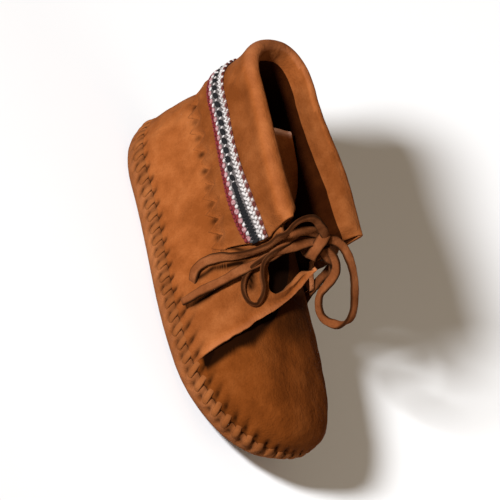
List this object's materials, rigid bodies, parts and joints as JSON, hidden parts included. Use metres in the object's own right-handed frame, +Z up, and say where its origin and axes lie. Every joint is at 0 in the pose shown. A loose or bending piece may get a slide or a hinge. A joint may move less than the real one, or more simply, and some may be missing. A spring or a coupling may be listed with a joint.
{
  "type": "bootie",
  "caption": "Soft suede moccasin bootie for a toddler, with a turned-down rolled cuff, saw-toothed cuff edge, braid trim, wrapped stitched sole and a thong lace tied in a bow.",
  "frame": {"origin": "on the floor under the middle of the shoe's box, measured without the bow's knot, loops and ends", "axes": "+Z up from the floor, -Y toward the toe, +Y toward the heel, -X toward the wearer's right, +X toward the wearer's left"},
  "size_m": [0.0669, 0.1282, 0.0605],
  "materials": {
    "sole": "brushed suede",
    "insole": "matt flesh side",
    "upper": "brushed suede",
    "tongue": "matt flesh side",
    "cuff": "brushed suede",
    "lace": "suede thong"
  },
  "bodies": {
    "root": {"sole": "sole", "insole": "insole", "upper": "upper", "tongue": "tongue", "cuff": "cuff", "lace_bar": "lace", "lace_knot": "lace", "lace_loop_right": "lace", "lace_loop_left": "lace", "lace_end_right": "lace", "lace_end_left": "lace"}
  },
  "joints": []
}
